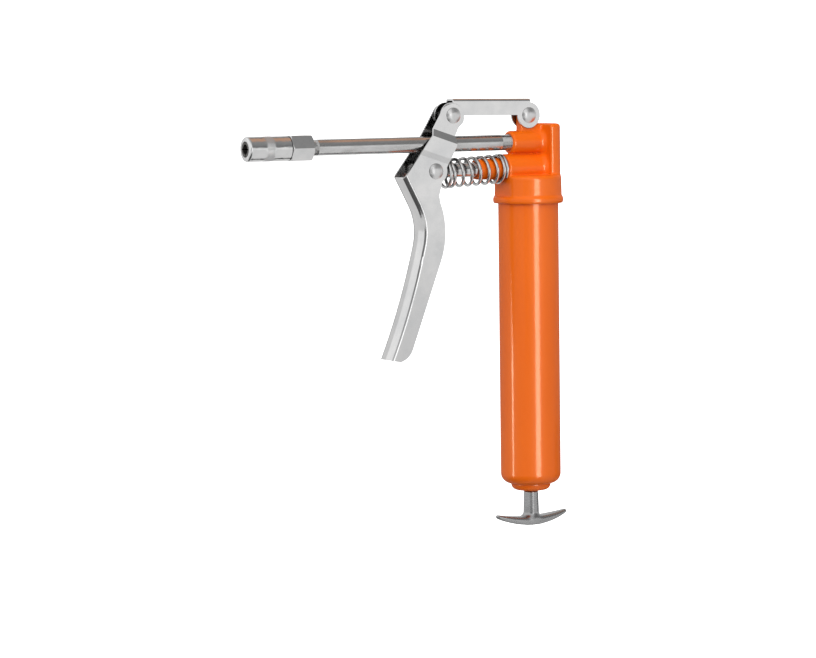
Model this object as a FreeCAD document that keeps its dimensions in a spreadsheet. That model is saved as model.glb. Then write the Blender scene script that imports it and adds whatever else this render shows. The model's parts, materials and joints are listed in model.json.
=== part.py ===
"""Mini pistol-grip lever grease gun, as an assembly of separate named sub-parts.

Row frame, millimetres: origin at the centre of the coupler's mouth, X from the coupler along the delivery
pipe to the barrel, Z up, Y = 0 the symmetry plane. The barrel hangs towards -Z.
"""
import FreeCAD, Part
import math
import os
import Sketcher

SIZES = {
    # where the main axes and pivots lie; pivots are measured from the barrel axis and the pipe axis
    "barrel_axis_x": 209.0,
    "pump_axis_z": -17.2,
    "head_pivot_x": -1.6,
    "head_pivot_z": 17.8,
    "link_length": 58.9,
    "link_tilt": 0.78,
    "plunger_pivot_x": -75.0,
    "plate_gauge": 1.4,
    "rivet_shank_radius": 3.0,
    "rivet_head_radius": 5.1,
    "rivet_rim": 0.35,
    "rivet_dome": 1.2,
    "rivet_dome_radius": 8.0,
    "rivet_flat": 1.0,
    "running_gap": 0.05,
    "loose_gap": 0.55,
    # coupler, measured from its mouth
    "sleeve_radius": 7.95,
    "sleeve_length": 30.0,
    "sleeve_edge": 1.2,
    "sleeve_bore_radius": 6.6,
    "mouth_radius": 5.25,
    "cone_end_x": 4.5,
    "spigot_radius": 6.85,
    "spigot_start_x": 24.0,
    "hex_half_flats": 8.0,
    "hex_half_corners": 9.2376,
    "hex_quarter": 4.6188,
    "hex_length": 15.5,
    "jaw_grip_radius": 3.3,
    "jaw_front_x": 0.0,
    "jaw_grip_end_x": 4.5,
    "jaw_end_x": 9.0,
    "jaw_outer_radius": 6.55,
    "jaw_nose_radius": 5.2,
    "jaw_seat_radius": 4.3,
    "jaw_slot_half": 0.4,
    "seal_radius": 4.25,
    "seal_hole_radius": 1.2,
    "seal_front_x": 5.6,
    "seal_end_x": 10.0,
    "holder_end_x": 12.6,
    "holder_boss_x": 14.0,
    "holder_boss_radius": 4.2,
    "coupler_coil_radius": 5.5,
    "coupler_wire_radius": 0.5,
    # delivery pipe, one-eighth inch gas size
    "pipe_radius": 5.25,
    "pipe_bore_radius": 2.4,
    "pipe_start_x": 35.7,
    "pipe_end_x": 203.6,
    "socket_radius": 5.27,
    "socket_start_x": 35.5,
    "thread_depth": 0.35,
    "thread_half_pitch": 0.47,
    "thread_pitch": 0.94,
    "hex_thread_x": 46.1,
    "hex_thread_span": 3.76,
    "head_thread_x": 187.4,
    "head_thread_span": 6.58,
    # head casting, measured from the barrel axis
    "cup_top_z": -21.8,
    "cup_radius": 22.0,
    "cup_low_radius": 22.3,
    "cup_edge": 1.5,
    "bead_radius": 23.3,
    "bead_top_z": -35.9,
    "bead_low_z": -40.1,
    "cavity_radius": 19.0,
    "cavity_mouth_radius": 20.1,
    "cavity_step_z": -39.0,
    "cavity_top_z": -23.8,
    "seat_x": -19.9,
    "block_front_x": 9.3,
    "block_radius": 21.5,
    "block_half_width": 14.7,
    "block_side_end_x": 15.69,
    "block_top_z": 12.1,
    "block_edge": 2.0,
    "outlet_boss_radius": 7.7,
    "outlet_boss_front_x": -14.3,
    "outlet_boss_edge": 2.0,
    "pump_boss_radius": 9.7,
    "guide_tip_x": -39.2,
    "guide_tip_radius": 6.65,
    "guide_root_radius": 7.2,
    "guide_edge": 0.8,
    "lug_half_width": 3.25,
    "lug_radius": 5.5,
    "pump_bore_radius": 4.8,
    "pump_bore_end_x": 11.0,
    "passage_x": 14.5,
    "passage_radius": 2.2,
    "passage_low_z": -19.1,
    "port_radius": 3.0,
    "port_x": -6.0,
    "plug_radius": 4.0,
    "plug_seat_z": 4.8,
    "check_start_x": -5.2,
    "check_bore_radius": 3.55,
    "check_seat_x": 5.0,
    "ball_radius": 3.0,
    "ball_centre_x": 2.7,
    "check_coil_radius": 2.4,
    "check_wire_radius": 0.3,
    "groove_start_x": -16.0,
    "groove_end_x": -13.4,
    "groove_radius": 6.1,
    # plunger and return spring
    "plunger_radius": 4.75,
    "plunger_front_x": -10.0,
    "plunger_tail": 7.2,
    "plunger_edge": 0.8,
    "spring_start_x": -66.4,
    "spring_coil_radius": 8.85,
    "spring_wire_radius": 0.95,
    # linkage plates
    "link_half_width": 4.75,
    "link_eye_radius": 8.5,
    "link_top": 10.9,
    "link_web_front": 0.8,
    "link_web_rear": 1.0,
    "link_bend": 1.8,
    "lever_eye_radius": 8.7,
    "lever_eye_half_width": 6.3,
    "lever_wide_half_width": 8.5,
    "lever_grip_half_width": 8.0,
    "lever_arm_tilt": 18.0,
    "lever_bend": 3.0,
    "lever_bend_inside": 1.6,
    "lever_upper_arc": 36.0,
    "lever_lower_arc": 429.0,
    "lever_rear_arc": 52.6,
    "lever_tip_arc": 13.0,
    # barrel, follower and handle, measured from the pipe axis
    "barrel_radius": 20.0,
    "barrel_wall": 1.2,
    "barrel_top_z": -25.2,
    "neck_radius": 18.9,
    "neck_wall": 0.8,
    "neck_step_z": -39.2,
    "barrel_base_z": -227.2,
    "barrel_corner": 6.8,
    "hub_radius": 13.2,
    "hub_low_z": -231.7,
    "hub_edge": 4.0,
    "rod_radius": 3.0,
    "rod_hole_radius": 3.1,
    "rod_top_z": -35.2,
    "rod_low_z": -244.2,
    "nut_top_z": -36.1,
    "nut_low_z": -41.1,
    "nut_half_flats": 5.0,
    "nut_half_corners": 5.7735,
    "nut_quarter": 2.8868,
    "washer_radius": 11.5,
    "washer_low_z": -42.6,
    "piston_radius": 18.7,
    "piston_low_z": -45.6,
    "piston_lip_z": -52.2,
    "piston_lip": 1.6,
    "plate_radius": 16.6,
    "plate_low_z": -47.1,
    "shoulder_radius": 4.5,
    "shoulder_low_z": -49.1,
    "follower_coil_radius": 14.0,
    "follower_wire_radius": 0.9,
    "handle_top_z": -232.5,
    "neck_top_radius": 4.8,
    "neck_low_radius": 5.5,
    "neck_low_z": -252.2,
    "bar_low_z": -255.2,
    "bar_gauge": 5.5,
    "bar_half_length": 28.0,
    "bar_rise": 6.2,
    "bar_end_gauge": 2.3,
    "bar_outer_arc": 66.3,
    "bar_inner_arc": 126.6,
    "bar_half_width": 6.0,
    "bar_end_half_width": 2.4,
    "bar_plan_arc": 95.7,
}

# the lever's web, front and back surface from the bend down, measured from the plunger pivot
WEB_FRONT = [
    ("- 23.39", "- 4.13"),
    ("- 13.7", "- 22.2", "lever_upper_arc", -1),
    ("- 10.42", "- 47.61", "lever_lower_arc", -1),
    ("- 35.4", "- 121.3"),
]
WEB_BACK = [
    ("- 22.16", "- 3.47"),
    ("- 12.47", "- 21.54", "lever_upper_arc + plate_gauge", -1),
    ("- 9.06", "- 47.94", "lever_lower_arc + plate_gauge", -1),
    ("- 34.12", "- 121.87"),
]

V = FreeCAD.Vector
doc = FreeCAD.newDocument("grease_gun")
sheet = doc.addObject("Spreadsheet::Sheet", "sizes")
for row, (alias, number) in enumerate(SIZES.items(), start=1):
    sheet.set("A%d" % row, str(number))
    sheet.setAlias("A%d" % row, alias)
doc.recompute()
nodes = []


def is_number(word):
    return word.replace(".", "").isdigit()


def amount(terms):
    """Value of a sum such as "barrel_radius - barrel_wall", from the sheet."""
    total = 0.0
    sign = 1.0
    for word in terms.split():
        if word in "+-":
            sign = 1.0 if word == "+" else -1.0
        else:
            total += sign * (float(word) if is_number(word) else sheet.get(word))
    return total


def formula(terms):
    return " ".join(word if word in "+-" or is_number(word) else "sizes." + word for word in terms.split())


def new_body(name):
    body = doc.addObject("PartDesign::Body", name)
    body.Label = name
    body.AllowCompound = True
    return body


def put(body, x="0", y="0", z="0"):
    """Tie a sub-part's placement to the sheet."""
    for axis, terms in (("x", x), ("y", y), ("z", z)):
        body.setExpression("Placement.Base." + axis, formula(terms))


def new_sketch(body, plane, out="0", up="0"):
    """Empty sketch on one of the body's origin planes, moved out along its normal and up its second axis."""
    sketch = body.newObject("Sketcher::SketchObject", body.Name + "_sketch")
    support = [item for item in body.Origin.OriginFeatures if item.Role == plane][0]
    sketch.AttachmentSupport = [(support, "")]
    sketch.MapMode = "FlatFace"
    sketch.setExpression("AttachmentOffset.Base.z", formula(out))
    sketch.setExpression("AttachmentOffset.Base.y", formula(up))
    return sketch


def bend(start, end, radius, turn):
    """Arc from start to end, turning left (turn 1) or right (turn -1)."""
    chord = end - start
    height = math.sqrt(max(radius ** 2 - chord.Length ** 2 / 4, 0.0))
    left = V(-chord.y, chord.x, 0).normalize()
    centre = (start + end) * 0.5 + left * height * turn
    first, last = (start, end) if turn > 0 else (end, start)
    angles = [math.atan2(point.y - centre.y, point.x - centre.x) for point in (first, last)]
    return Part.ArcOfCircle(Part.Circle(centre, V(0, 0, 1), radius), angles[0], angles[1])


def fix(sketch, kind, *where, terms):
    """Add one dimension to a sketch and bind it to the sheet."""
    index = sketch.addConstraint(Sketcher.Constraint(kind, *where, amount(terms)))
    if not all(word in "+-" or is_number(word) for word in terms.split()):
        sketch.setExpression("Constraints[%d]" % index, formula(terms))


def add_loop(sketch, corners):
    """Closed outline. A corner is (x, y) or (x, y, radius, turn), where the side after it is an arc."""
    base = sketch.GeometryCount
    points = [V(amount(corner[0]), amount(corner[1]), 0) for corner in corners]
    count = len(points)
    for index, corner in enumerate(corners):
        start, end = points[index], points[(index + 1) % count]
        if len(corner) == 4:
            sketch.addGeometry(bend(start, end, amount(corner[2]), corner[3]), False)
        else:
            sketch.addGeometry(Part.LineSegment(start, end), False)
    begins = [2 if len(corner) == 4 and corner[3] < 0 else 1 for corner in corners]
    for index, corner in enumerate(corners):
        after = (index + 1) % count
        line = base + index
        sketch.addConstraint(
            Sketcher.Constraint("Coincident", line, 3 - begins[index], base + after, begins[after])
        )
        fix(sketch, "DistanceX", -1, 1, line, begins[index], terms=corner[0])
        fix(sketch, "DistanceY", -1, 1, line, begins[index], terms=corner[1])
        if len(corner) == 4:
            fix(sketch, "Radius", line, terms=corner[2])


def add_circle(sketch, x, y, radius):
    index = sketch.addGeometry(Part.Circle(V(amount(x), amount(y), 0), V(0, 0, 1), amount(radius)), False)
    fix(sketch, "DistanceX", -1, 1, index, 3, terms=x)
    fix(sketch, "DistanceY", -1, 1, index, 3, terms=y)
    fix(sketch, "Radius", index, terms=radius)


def finish(body, feature):
    """Recompute after a feature and stop if it did nothing or broke the solid."""
    before = 0.0 if body.Tip in (None, feature) and not body.Shape.Solids else body.Shape.Volume
    body.Tip = feature
    doc.recompute()
    if "Invalid" in feature.State or "Error" in feature.State or not feature.Shape.isValid():
        raise RuntimeError("%s: %s %s" % (body.Name, feature.Name, feature.State))
    if abs(body.Shape.Volume - before) < 1e-6:
        raise RuntimeError("%s: %s changed nothing" % (body.Name, feature.Name))
    return feature


def spin(body, corners, plane="XZ_Plane", axis="V_Axis", up="0", kind="Revolution"):
    """Turned shape: an outline revolved about one axis of its own sketch."""
    sketch = new_sketch(body, plane, up=up)
    add_loop(sketch, corners)
    feature = body.newObject("PartDesign::" + kind, body.Name + "_" + kind.lower())
    feature.Profile = sketch
    feature.ReferenceAxis = (sketch, [axis])
    feature.Angle = 360
    return finish(body, feature)


def extrude(body, sketch, length, kind="Pad", both=False, backwards=False):
    feature = body.newObject("PartDesign::" + kind, body.Name + "_" + kind.lower())
    feature.Profile = sketch
    feature.SideType = "Symmetric" if both else "One side"
    feature.Reversed = backwards
    feature.setExpression("Length", formula(length))
    return finish(body, feature)


def round_edges(body, radius, chosen):
    """Fillet every edge of the body whose middle point passes the test."""
    base = body.Tip
    names = []
    for index, edge in enumerate(base.Shape.Edges, start=1):
        middle = edge.valueAt((edge.FirstParameter + edge.LastParameter) / 2)
        if chosen(edge, middle):
            names.append("Edge%d" % index)
    feature = body.newObject("PartDesign::Fillet", body.Name + "_fillet")
    feature.Base = (base, names)
    feature.setExpression("Radius", formula(radius))
    return finish(body, feature)


def turned(name, corners, x="0", z="0", plane="XZ_Plane", axis="V_Axis"):
    """Whole sub-part made by one revolution."""
    body = new_body(name)
    put(body, x=x, z=z)
    spin(body, corners, plane, axis)
    nodes.append(body)
    return body


def coil(name, coil_radius, wire_radius, length, turns, x="0", z="0", along_x=False):
    """Helical spring standing on its own origin, rising along local Z."""
    body = new_body(name)
    put(body, x=x, z=z)
    if along_x:
        body.Placement.Rotation = FreeCAD.Rotation(V(0, 1, 0), 90)
    sketch = new_sketch(body, "XZ_Plane")
    add_circle(sketch, coil_radius, wire_radius, wire_radius)
    helix = body.newObject("PartDesign::AdditiveHelix", name + "_helix")
    helix.Profile = sketch
    helix.ReferenceAxis = (sketch, ["V_Axis"])
    helix.Mode = "height-turns-angle"
    helix.Height = amount(length) - 2 * amount(wire_radius)
    helix.Turns = turns
    finish(body, helix)
    nodes.append(body)


def rivet(name, half_grip, x, z):
    """Pin along Y with a low domed head at each end."""
    turned(name, [
        ("0", "- %s - rivet_rim - rivet_dome" % half_grip),
        ("rivet_flat", "- %s - rivet_rim - rivet_dome" % half_grip, "rivet_dome_radius", 1),
        ("rivet_head_radius", "- %s - rivet_rim" % half_grip),
        ("rivet_head_radius", "- " + half_grip),
        ("rivet_shank_radius", "- " + half_grip),
        ("rivet_shank_radius", half_grip),
        ("rivet_head_radius", half_grip),
        ("rivet_head_radius", half_grip + " + rivet_rim", "rivet_dome_radius", 1),
        ("rivet_flat", half_grip + " + rivet_rim + rivet_dome"),
        ("0", half_grip + " + rivet_rim + rivet_dome"),
    ], x=x, z=z, plane="XY_Plane")


def hexagon(flats, corners, quarter):
    """Hexagon with corners on the sketch's first axis."""
    return [
        (corners, "0"), (quarter, flats), ("- " + quarter, flats),
        ("- " + corners, "0"), ("- " + quarter, "- " + flats), (quarter, "- " + flats),
    ]


def coupler_sleeve():
    turned("coupler_sleeve", [
        ("0", "mouth_radius"),
        ("0", "sleeve_radius - sleeve_edge", "sleeve_edge", -1),
        ("sleeve_edge", "sleeve_radius"),
        ("sleeve_length - 0.4", "sleeve_radius"),
        ("sleeve_length", "sleeve_radius - 0.4"),
        ("sleeve_length", "spigot_radius + running_gap"),
        ("spigot_start_x", "spigot_radius + running_gap"),
        ("spigot_start_x", "sleeve_bore_radius"),
        ("cone_end_x", "sleeve_bore_radius"),
        ("sleeve_edge", "mouth_radius"),
    ], axis="H_Axis")


def coupler_jaws():
    body = turned("coupler_jaws", [
        ("jaw_front_x", "jaw_grip_radius"),
        ("jaw_front_x", "jaw_nose_radius - 0.5"),
        ("sleeve_edge + 0.1", "jaw_nose_radius"),
        ("cone_end_x + 0.1", "jaw_outer_radius"),
        ("jaw_end_x", "jaw_outer_radius"),
        ("jaw_end_x", "jaw_seat_radius"),
        ("jaw_grip_end_x + 1.0", "jaw_seat_radius"),
        ("jaw_grip_end_x", "jaw_grip_radius"),
    ], axis="H_Axis")
    for along, across in (("sleeve_radius", "jaw_slot_half"), ("jaw_slot_half", "sleeve_radius")):
        sketch = new_sketch(body, "YZ_Plane")
        add_loop(sketch, [
            ("- " + along, "- " + across), (along, "- " + across), (along, across), ("- " + along, across),
        ])
        extrude(body, sketch, "sleeve_length", kind="Pocket", backwards=True)


def coupler_inside():
    turned("coupler_seal", [
        ("seal_front_x", "seal_hole_radius"),
        ("seal_front_x", "seal_radius - 1.0"),
        ("seal_front_x + 0.9", "seal_radius"),
        ("seal_end_x", "seal_radius"),
        ("seal_end_x", "seal_hole_radius"),
    ], axis="H_Axis")
    turned("coupler_seal_holder", [
        ("jaw_end_x + 0.02", "seal_radius + running_gap"),
        ("jaw_end_x + 0.02", "jaw_outer_radius"),
        ("holder_end_x", "jaw_outer_radius"),
        ("holder_end_x", "holder_boss_radius"),
        ("holder_boss_x", "holder_boss_radius"),
        ("holder_boss_x", "seal_hole_radius"),
        ("seal_end_x + 0.02", "seal_hole_radius"),
        ("seal_end_x + 0.02", "seal_radius + running_gap"),
    ], axis="H_Axis")
    coil("coupler_spring", "coupler_coil_radius", "coupler_wire_radius",
         "spigot_start_x - holder_end_x", 6, x="holder_end_x", along_x=True)


def coupler_adapter():
    body = new_body("coupler_adapter")
    sketch = new_sketch(body, "YZ_Plane", out="sleeve_length")
    add_loop(sketch, hexagon("hex_half_flats", "hex_half_corners", "hex_quarter"))
    extrude(body, sketch, "hex_length")
    for face, inward in (("sleeve_length", "+"), ("sleeve_length + hex_length", "-")):
        corners = [
            (face, "hex_half_flats + 0.1"), (face, "hex_half_corners + 0.6"),
            ("%s %s 1.0" % (face, inward), "hex_half_corners + 0.6"),
        ]
        spin(body, corners, axis="H_Axis", kind="Groove")
    spin(body, [
        ("spigot_start_x", "0"), ("spigot_start_x", "spigot_radius - 0.5"),
        ("spigot_start_x + 0.5", "spigot_radius"),
        ("sleeve_length + 1.0", "spigot_radius"), ("sleeve_length + 1.0", "0"),
    ], axis="H_Axis")
    spin(body, [
        ("spigot_start_x - 1.0", "0"), ("spigot_start_x - 1.0", "pipe_bore_radius"),
        ("socket_start_x", "pipe_bore_radius"), ("socket_start_x", "socket_radius"),
        ("sleeve_length + hex_length + 1.0", "socket_radius"), ("sleeve_length + hex_length + 1.0", "0"),
    ], axis="H_Axis", kind="Groove")
    nodes.append(body)


def extension_pipe():
    body = turned("extension_pipe", [
        ("pipe_start_x", "pipe_bore_radius"),
        ("pipe_start_x", "pipe_radius - 0.4"),
        ("pipe_start_x + 0.8", "pipe_radius"),
        ("pipe_end_x - 0.8", "pipe_radius"),
        ("pipe_end_x", "pipe_radius - 0.4"),
        ("pipe_end_x", "pipe_bore_radius"),
    ], axis="H_Axis")
    for start, span in (("hex_thread_x", "hex_thread_span"), ("head_thread_x", "head_thread_span")):
        ring = spin(body, [
            (start, "pipe_radius - thread_depth"),
            (start + " + thread_half_pitch", "pipe_radius + 0.05"),
            (start + " - thread_half_pitch", "pipe_radius + 0.05"),
        ], axis="H_Axis", kind="Groove")
        rings = body.newObject("PartDesign::LinearPattern", "extension_pipe_rings")
        rings.Originals = [ring]
        rings.Direction = (ring.Profile[0], ["H_Axis"])
        rings.Length = amount(span)
        rings.Occurrences = int(round(amount(span) / amount("thread_pitch"))) + 1
        finish(body, rings)


def head_casting():
    body = new_body("head_casting")
    put(body, x="barrel_axis_x")
    sketch = new_sketch(body, "XY_Plane", out="cup_top_z - 1.0")
    add_loop(sketch, [
        ("block_front_x", "- block_half_width"),
        ("block_side_end_x", "- block_half_width", "block_radius", 1),
        ("block_side_end_x", "block_half_width"),
        ("block_front_x", "block_half_width"),
    ])
    extrude(body, sketch, "block_top_z - cup_top_z + 1.0")
    round_edges(body, "block_edge", lambda edge, middle: abs(middle.y) > 14.0 and abs(middle.z) < 8.0)
    round_edges(body, "block_edge", lambda edge, middle: middle.z > amount("block_top_z") - 0.1)
    spin(body, [
        ("0", "cup_top_z"), ("0", "bead_low_z"), ("bead_radius - 0.6", "bead_low_z"),
        ("bead_radius", "bead_low_z + 0.6"), ("bead_radius", "bead_top_z - 0.9"),
        ("bead_radius - 0.9", "bead_top_z"), ("cup_low_radius", "bead_top_z + 0.2"),
        ("cup_radius", "cup_top_z - cup_edge", "cup_edge", 1), ("cup_radius - cup_edge", "cup_top_z"),
    ])
    seat = new_sketch(body, "XY_Plane", out="bead_top_z")
    add_loop(seat, [
        ("seat_x - 9.0", "- cup_radius"), ("seat_x", "- cup_radius"),
        ("seat_x", "cup_radius"), ("seat_x - 9.0", "cup_radius"),
    ])
    extrude(body, seat, "cup_top_z - bead_top_z + 0.5", kind="Pocket", backwards=True)
    lug = new_sketch(body, "XZ_Plane")
    add_loop(lug, [
        ("head_pivot_x - lug_radius", "head_pivot_z"),
        ("head_pivot_x - lug_radius", "0"),
        ("block_front_x + 3.0", "0"),
        ("block_front_x + 3.0", "block_top_z - 0.3"),
        ("head_pivot_x + lug_radius + 1.0", "block_top_z - 0.3"),
        ("head_pivot_x + lug_radius", "block_top_z + 1.0"),
        ("head_pivot_x + lug_radius", "head_pivot_z", "lug_radius", 1),
        ("head_pivot_x", "head_pivot_z + lug_radius", "lug_radius", 1),
    ])
    extrude(body, lug, "lug_half_width + lug_half_width", both=True)
    spin(body, [
        ("outlet_boss_front_x", "0"),
        ("outlet_boss_front_x", "outlet_boss_radius - outlet_boss_edge", "outlet_boss_edge", -1),
        ("outlet_boss_front_x + outlet_boss_edge", "outlet_boss_radius"),
        ("block_front_x + 3.0", "outlet_boss_radius"), ("block_front_x + 3.0", "0"),
    ], axis="H_Axis")
    spin(body, [
        ("guide_tip_x", "0"),
        ("guide_tip_x", "guide_tip_radius - guide_edge", "guide_edge", -1),
        ("guide_tip_x + guide_edge", "guide_tip_radius"),
        ("seat_x", "guide_root_radius"), ("seat_x", "pump_boss_radius"),
        ("block_front_x + 3.0", "pump_boss_radius"), ("block_front_x + 3.0", "0"),
    ], axis="H_Axis", up="pump_axis_z")
    return body


def head_hollows(body):
    """Barrel cavity, pump bore, inlet port, riser, outlet line and pivot hole."""
    spin(body, [
        ("0", "bead_low_z - 1.0"), ("cavity_mouth_radius", "bead_low_z - 1.0"),
        ("cavity_mouth_radius", "cavity_step_z"), ("cavity_radius", "cavity_step_z"),
        ("cavity_radius", "cavity_top_z"), ("0", "cavity_top_z"),
    ], kind="Groove")
    spin(body, [
        ("guide_tip_x - 1.0", "0"), ("guide_tip_x - 1.0", "pump_bore_radius"),
        ("groove_start_x", "pump_bore_radius"), ("groove_start_x", "groove_radius"),
        ("groove_end_x", "groove_radius"), ("groove_end_x", "pump_bore_radius"),
        ("pump_bore_end_x", "pump_bore_radius"), ("pump_bore_end_x + 2.0", "passage_radius"),
        ("passage_x", "passage_radius"), ("passage_x", "0"),
    ], axis="H_Axis", up="pump_axis_z", kind="Groove")
    spin(body, [
        ("outlet_boss_front_x - 1.0", "0"), ("outlet_boss_front_x - 1.0", "socket_radius"),
        ("check_start_x", "socket_radius"), ("check_start_x", "check_bore_radius"),
        ("check_seat_x", "check_bore_radius"), ("check_seat_x", "passage_radius"),
        ("passage_x", "passage_radius"), ("passage_x", "0"),
    ], axis="H_Axis", kind="Groove")
    port = new_sketch(body, "XY_Plane", out="cavity_top_z - 1.0")
    add_circle(port, "port_x", "0", "port_radius")
    extrude(body, port, "pump_axis_z - cavity_top_z + 1.0", kind="Pocket", backwards=True)
    riser = new_sketch(body, "XY_Plane", out="passage_low_z")
    add_circle(riser, "passage_x", "0", "passage_radius")
    extrude(body, riser, "block_top_z - passage_low_z + 1.0", kind="Pocket", backwards=True)
    mouth = new_sketch(body, "XY_Plane", out="plug_seat_z")
    add_circle(mouth, "passage_x", "0", "plug_radius + running_gap")
    extrude(body, mouth, "block_top_z - plug_seat_z + 1.0", kind="Pocket", backwards=True)
    pivot = new_sketch(body, "XZ_Plane")
    add_circle(pivot, "head_pivot_x", "head_pivot_z", "rivet_shank_radius + running_gap")
    extrude(body, pivot, "block_half_width", kind="Pocket", both=True)
    nodes.append(body)


def head_fittings():
    body = new_body("passage_plug")
    put(body, x="barrel_axis_x + passage_x")
    spin(body, [
        ("0", "plug_seat_z"), ("plug_radius", "plug_seat_z"), ("plug_radius", "block_top_z - 1.2"),
        ("plug_radius - 0.5", "block_top_z - 0.7"), ("0", "block_top_z - 0.7"),
    ])
    socket = new_sketch(body, "XY_Plane", out="block_top_z")
    add_loop(socket, hexagon("passage_radius - 0.2", "passage_radius + 0.1094", "1.1547"))
    extrude(body, socket, "plug_radius", kind="Pocket")
    nodes.append(body)
    turned("barrel_gasket", [
        ("neck_radius - neck_wall - 2.0", "barrel_top_z"), ("neck_radius", "barrel_top_z"),
        ("neck_radius", "cavity_top_z"), ("neck_radius - neck_wall - 2.0", "cavity_top_z"),
    ], x="barrel_axis_x")
    turned("plunger_seal", [
        ("groove_start_x + 0.1", "plunger_radius + 0.02"), ("groove_start_x + 0.1", "groove_radius"),
        ("groove_end_x - 0.1", "groove_radius"), ("groove_end_x - 0.1", "plunger_radius + 0.02"),
    ], x="barrel_axis_x", z="pump_axis_z", axis="H_Axis")
    ball = doc.addObject("Part::Sphere", "outlet_check_ball")
    ball.Label = "outlet_check_ball"
    ball.setExpression("Radius", formula("ball_radius"))
    put(ball, x="barrel_axis_x + ball_centre_x")
    nodes.append(ball)
    coil("outlet_check_spring", "check_coil_radius", "check_wire_radius",
         "ball_centre_x - check_start_x - 1.9", 5, x="barrel_axis_x + check_start_x", along_x=True)


def plunger():
    body = turned("plunger", [
        ("- plunger_tail", "0"), ("- plunger_tail", "plunger_radius - plunger_edge"),
        ("plunger_edge - plunger_tail", "plunger_radius"),
        ("plunger_front_x - plunger_pivot_x - plunger_edge", "plunger_radius"),
        ("plunger_front_x - plunger_pivot_x", "plunger_radius - plunger_edge"),
        ("plunger_front_x - plunger_pivot_x", "0"),
    ], x="barrel_axis_x + plunger_pivot_x", z="pump_axis_z", axis="H_Axis")
    sketch = new_sketch(body, "XZ_Plane")
    add_circle(sketch, "0", "0", "rivet_shank_radius + running_gap")
    extrude(body, sketch, "barrel_radius", kind="Pocket", both=True)


def link(tilt):
    body = new_body("link")
    put(body, x="barrel_axis_x + head_pivot_x", z="head_pivot_z")
    body.setExpression("Placement.Rotation.Angle", "sizes.link_tilt * 1 deg")
    body.Placement.Rotation = FreeCAD.Rotation(V(0, 1, 0), tilt)
    channel = new_sketch(body, "XZ_Plane")
    add_loop(channel, [
        ("link_web_front - link_length", "0"), ("link_web_rear", "0"),
        ("link_web_rear", "link_top"), ("link_web_front - link_length", "link_top"),
    ])
    extrude(body, channel, "link_half_width + link_half_width", both=True)
    round_edges(body, "link_bend", lambda edge, middle:
                abs(middle.z - amount("link_top")) < 0.01 and abs(middle.y) > amount("link_half_width") - 0.01)
    for centre in ("0", "- link_length"):
        eye = new_sketch(body, "XZ_Plane")
        add_circle(eye, centre, "0", "link_eye_radius")
        extrude(body, eye, "link_half_width + link_half_width", both=True)
    hollow = new_sketch(body, "YZ_Plane")
    inside = "link_half_width - plate_gauge"
    add_loop(hollow, [
        ("plate_gauge - link_half_width", "- 12.0"), (inside, "- 12.0"),
        (inside, "link_top - plate_gauge"), ("plate_gauge - link_half_width", "link_top - plate_gauge"),
    ])
    extrude(body, hollow, "link_length + link_length + link_length", kind="Pocket", both=True)
    for centre, gap in (("0", "running_gap"), ("- link_length", "loose_gap")):
        hole = new_sketch(body, "XZ_Plane")
        add_circle(hole, centre, "0", "rivet_shank_radius + " + gap)
        extrude(body, hole, "barrel_radius", kind="Pocket", both=True)
    nodes.append(body)


def lever_side(name, eye_x, eye_z):
    """Side view of the lever, as a slab; local origin at the plunger pivot."""
    body = new_body(name)
    sketch = new_sketch(body, "XZ_Plane")
    add_loop(sketch, WEB_FRONT + [
        ("- 28.2", "- 122.7", "lever_tip_arc", 1),
        ("- 19.3", "- 115.8"),
        ("2.5", "- 59.6", "lever_rear_arc", 1),
        ("3.0", "- 20.5"),
        ("2.2", "- 15.9"),
        ("4.6", "- 7.0", "8.4", 1),
        ("8.1", "2.2"),
        ("15.7", "15.9"),
        ("16.1", "19.0"),
        ("15.7", "22.6"),
        ("18.3", "27.8"),
        ("21.9", "31.2", "lever_eye_radius", 1),
        ("6.5", "39.2"),
        ("- 0.6", "27.5"),
        ("- 2.0", "23.3"),
    ])
    extrude(body, sketch, "lever_wide_half_width + lever_wide_half_width + 2.0", both=True)
    for x, z, gap in ((0.0, 0.0, "0.02"), (eye_x, eye_z, "0.02")):
        hole = new_sketch(body, "XZ_Plane")
        add_circle(hole, "%s %.4f" % ("-" if x < 0 else "+", abs(x)), "%.4f" % z, "rivet_shank_radius + " + gap)
        extrude(body, hole, "barrel_radius + barrel_radius", kind="Pocket", both=True)
    return body


def lever_hollow_side(name):
    """Side view of the channel's open inside: behind the web, and everything above the bend."""
    body = new_body(name)
    sketch = new_sketch(body, "XZ_Plane")
    add_loop(sketch, WEB_BACK + [
        ("- 34.12", "- 140.0"),
        ("60.0", "- 140.0"),
        ("60.0", "70.0"),
        ("- 60.0", "70.0"),
        ("- 60.0", "- 1.5"),
    ])
    extrude(body, sketch, "lever_wide_half_width + lever_wide_half_width + 2.0", both=True)
    return body


def lever_front(name, inset):
    """Front view of the lever, as a slab: narrow at the link, wide past the pipe, a little less at the grip.

    The slab leans with the upper arm, so the two set-offs cross the arm squarely.
    """
    body = new_body(name)
    sketch = new_sketch(body, "YZ_Plane")
    levels = (("lever_eye_half_width", "60.0"), ("lever_eye_half_width", "26.0"),
              ("lever_wide_half_width", "21.3"), ("lever_wide_half_width", "10.7"),
              ("lever_grip_half_width", "6.9"), ("lever_grip_half_width", "- 150.0"))
    right = [("%s - %s" % (half, inset), z) for half, z in levels]
    left = [("%s - %s" % (inset, half), z) for half, z in levels]
    add_loop(sketch, left + right[::-1])
    extrude(body, sketch, "barrel_axis_x + barrel_axis_x", both=True)
    body.Placement.Rotation = FreeCAD.Rotation(V(0, 1, 0), amount("lever_arm_tilt"))
    body.setExpression("Placement.Rotation.Angle", formula("lever_arm_tilt"))
    return body


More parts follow.
